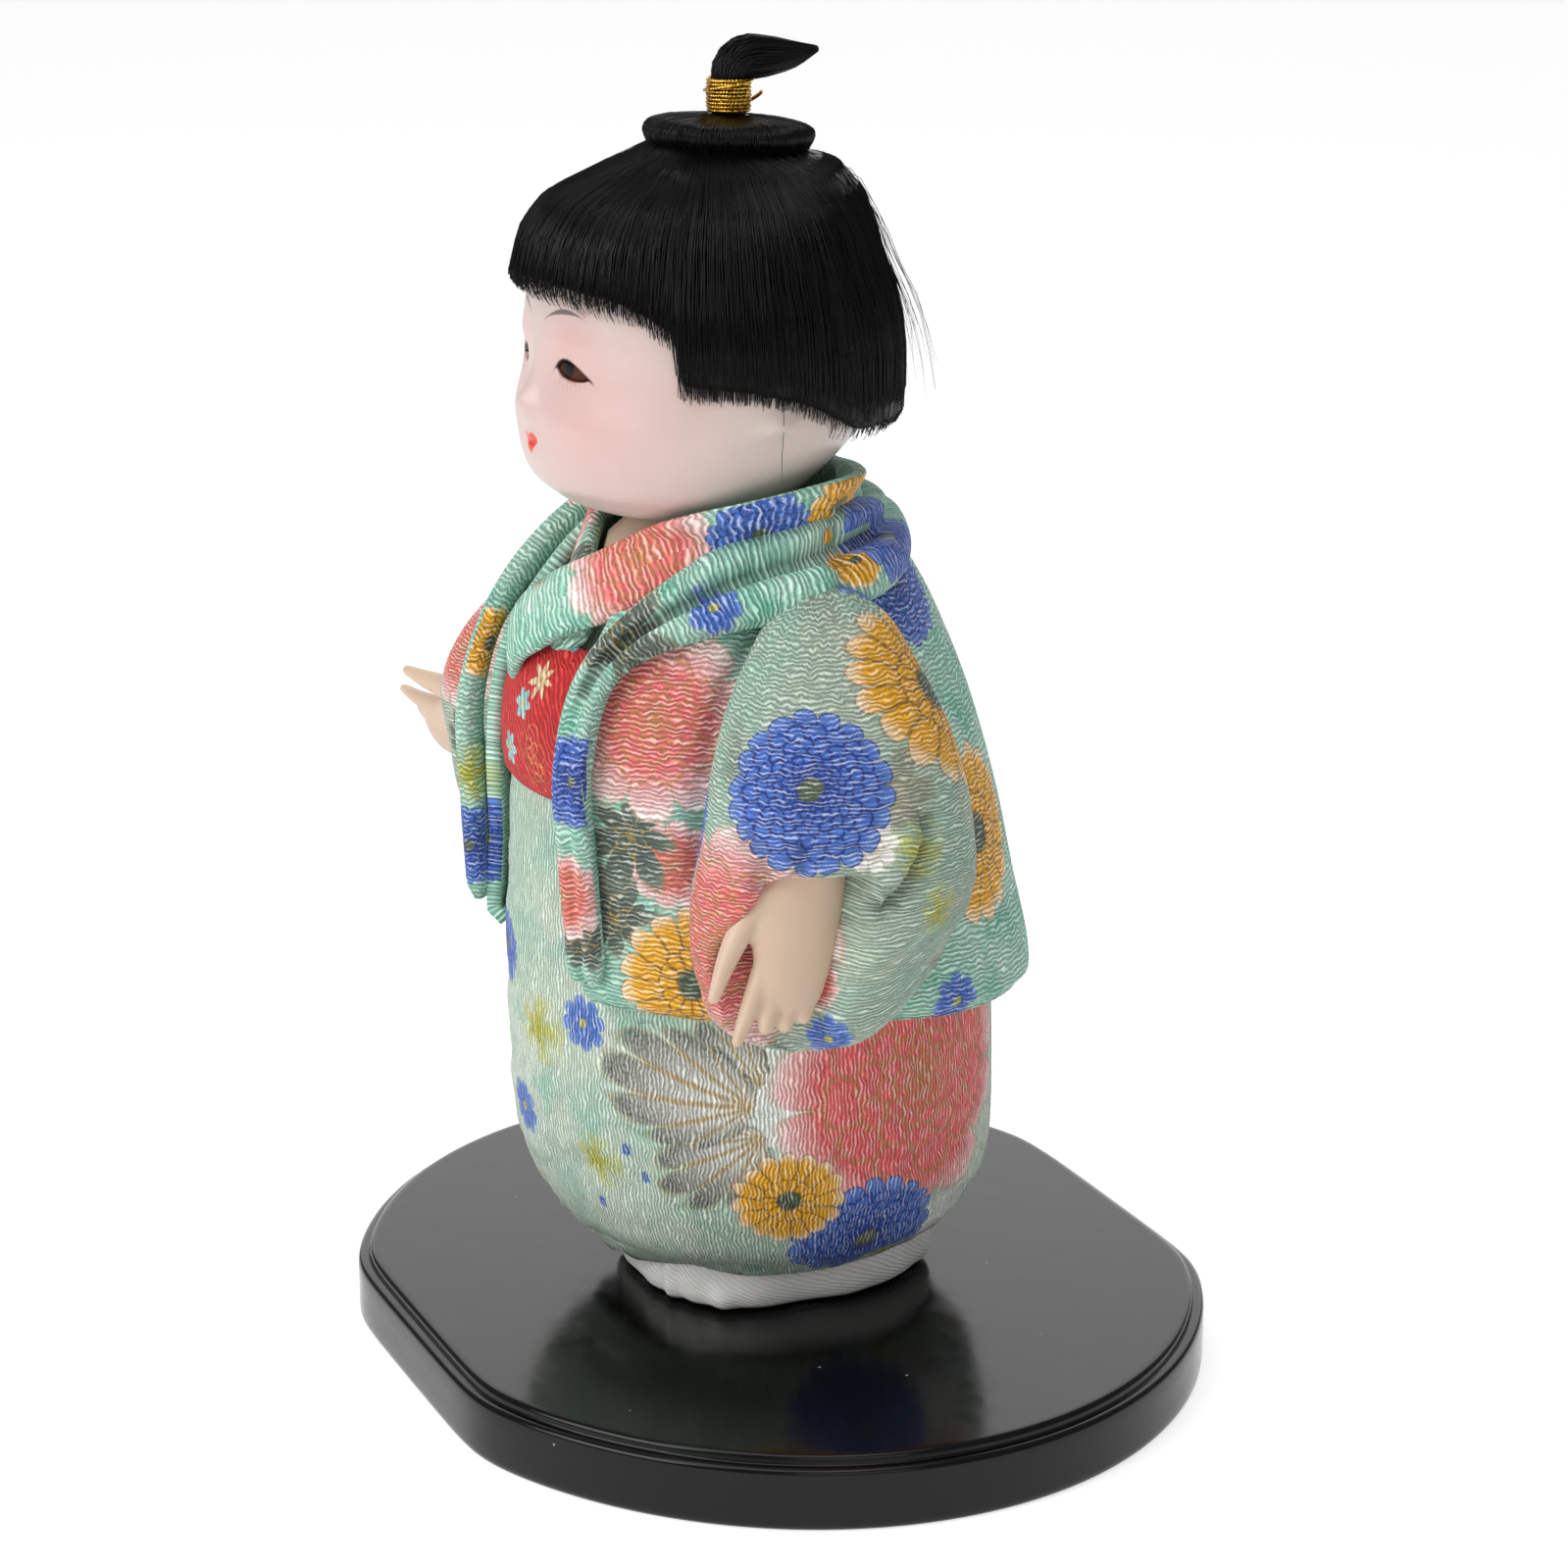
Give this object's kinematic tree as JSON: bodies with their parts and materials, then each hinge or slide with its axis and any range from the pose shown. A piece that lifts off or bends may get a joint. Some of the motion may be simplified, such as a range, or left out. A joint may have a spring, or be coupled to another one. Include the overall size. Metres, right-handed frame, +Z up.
{
  "type": "kimono doll",
  "caption": "Standing round-headed doll in a wadded kimono, brocade obi and bag-sleeved haori, with bobbed hair and a tied topknot, on a black lacquered board.",
  "frame": {"origin": "middle of the board's underside, where it rests on a table", "axes": "+Z up, the doll faces -Y, its left hand is on +X"},
  "size_m": [0.1621, 0.133, 0.2217],
  "materials": {
    "black_lacquer": "black gloss lacquer",
    "steel_screw": "plain steel",
    "bare_wood": "unfinished",
    "white_satin": "satin weave",
    "stuffing": "cotton wadding",
    "green_crepe": "printed silk crepe, wadded",
    "red_brocade": "woven brocade",
    "pale_vinyl": "satin",
    "painted_face": "satin painted face",
    "brown_glass": "polished, opaque",
    "black_hair": "glossy silk strands",
    "gold_thread": "metallic thread",
    "steel_wire": "soft drawn wire"
  },
  "bodies": {
    "stand": {"base_board": "black_lacquer", "base_screw_front": "steel_screw", "base_screw_rear": "steel_screw", "sole_block": "bare_wood", "sole_cover": "white_satin", "body_core": "stuffing", "neck": "pale_vinyl", "kimono_robe": "green_crepe", "obi": "red_brocade", "kimono_collar": "green_crepe", "haori_body": "green_crepe", "haori_band": "green_crepe"},
    "head": {"neck_peg": "bare_wood", "head_shell": "painted_face", "left_eye": "brown_glass", "right_eye": "brown_glass", "hair_cap": "black_hair", "topknot_disc": "black_hair", "topknot_tail": "black_hair", "gold_tie": "gold_thread"},
    "left_arm": {"left_arm_wire": "steel_wire", "left_arm_pad": "stuffing", "left_sleeve": "green_crepe"},
    "right_arm": {"right_arm_wire": "steel_wire", "right_arm_pad": "stuffing", "right_sleeve": "green_crepe"},
    "left_hand": {"left_hand": "pale_vinyl"},
    "right_hand": {"right_hand": "pale_vinyl"}
  },
  "joints": [
    {"name": "head_turn", "type": "hinge", "parent": "stand", "child": "head", "pos_m": [0, -0.012, 0.145], "axis": [0, 0, 1], "range_deg": [-25, 25]},
    {"name": "left_shoulder_raise", "type": "hinge", "parent": "stand", "child": "left_arm", "pos_m": [0.021, -0.01, 0.132], "axis": [0, -1, 0], "range_deg": [0, 25]},
    {"name": "right_shoulder_raise", "type": "hinge", "parent": "stand", "child": "right_arm", "pos_m": [-0.021, -0.01, 0.132], "axis": [0, 1, 0], "range_deg": [0, 25]},
    {"name": "left_wrist_bend", "type": "hinge", "parent": "left_arm", "child": "left_hand", "pos_m": [0.058, -0.0215, 0.102], "axis": [0, -1, 0], "range_deg": [0, 30]},
    {"name": "right_wrist_bend", "type": "hinge", "parent": "right_arm", "child": "right_hand", "pos_m": [-0.055, -0.0285, 0.095], "axis": [0, 1, 0], "range_deg": [-20, 10]}
  ]
}
